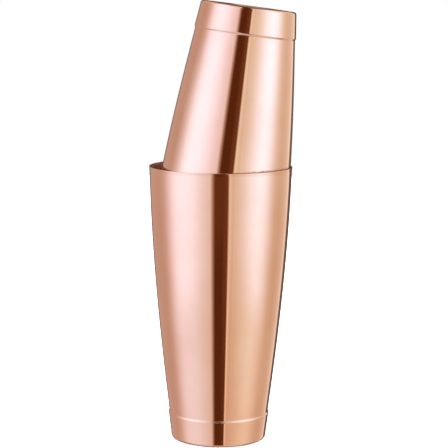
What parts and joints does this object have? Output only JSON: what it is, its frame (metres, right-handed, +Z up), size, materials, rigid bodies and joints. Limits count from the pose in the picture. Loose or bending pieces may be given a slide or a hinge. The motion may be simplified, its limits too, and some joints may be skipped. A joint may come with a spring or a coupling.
{
  "type": "cocktail shaker set",
  "caption": "Tin-on-tin cocktail shaker with weighted bases: a large tin stands upright, and a smaller tin is upturned in its mouth at a slant and lifts out.",
  "frame": {"origin": "centre of the large tin's underside, on the plane that its base cap rests on", "axes": "+Z up along the large tin's axis, +X towards the side that the upturned small tin leans to, +Y away from the front"},
  "size_m": [0.0926, 0.0916, 0.2814],
  "materials": {
    "polished_copper": "gloss",
    "dressed_weld": "satin",
    "ballast_steel": "satin",
    "bond_epoxy": "matte"
  },
  "bodies": {
    "large_tin": {"large_tin_cup": "polished_copper", "large_tin_base_cap": "polished_copper", "large_tin_seam_weld": "dressed_weld", "large_tin_ballast_disc": "ballast_steel", "large_tin_bond_layer": "bond_epoxy"},
    "small_tin": {"small_tin_cup": "polished_copper", "small_tin_base_cap": "polished_copper", "small_tin_seam_weld": "dressed_weld", "small_tin_ballast_disc": "ballast_steel", "small_tin_bond_layer": "bond_epoxy"}
  },
  "joints": [
    {"name": "small_tin_lift", "type": "slide", "parent": "large_tin", "child": "small_tin", "axis": [0, 0, 1], "range_m": [0, 0.08]}
  ]
}
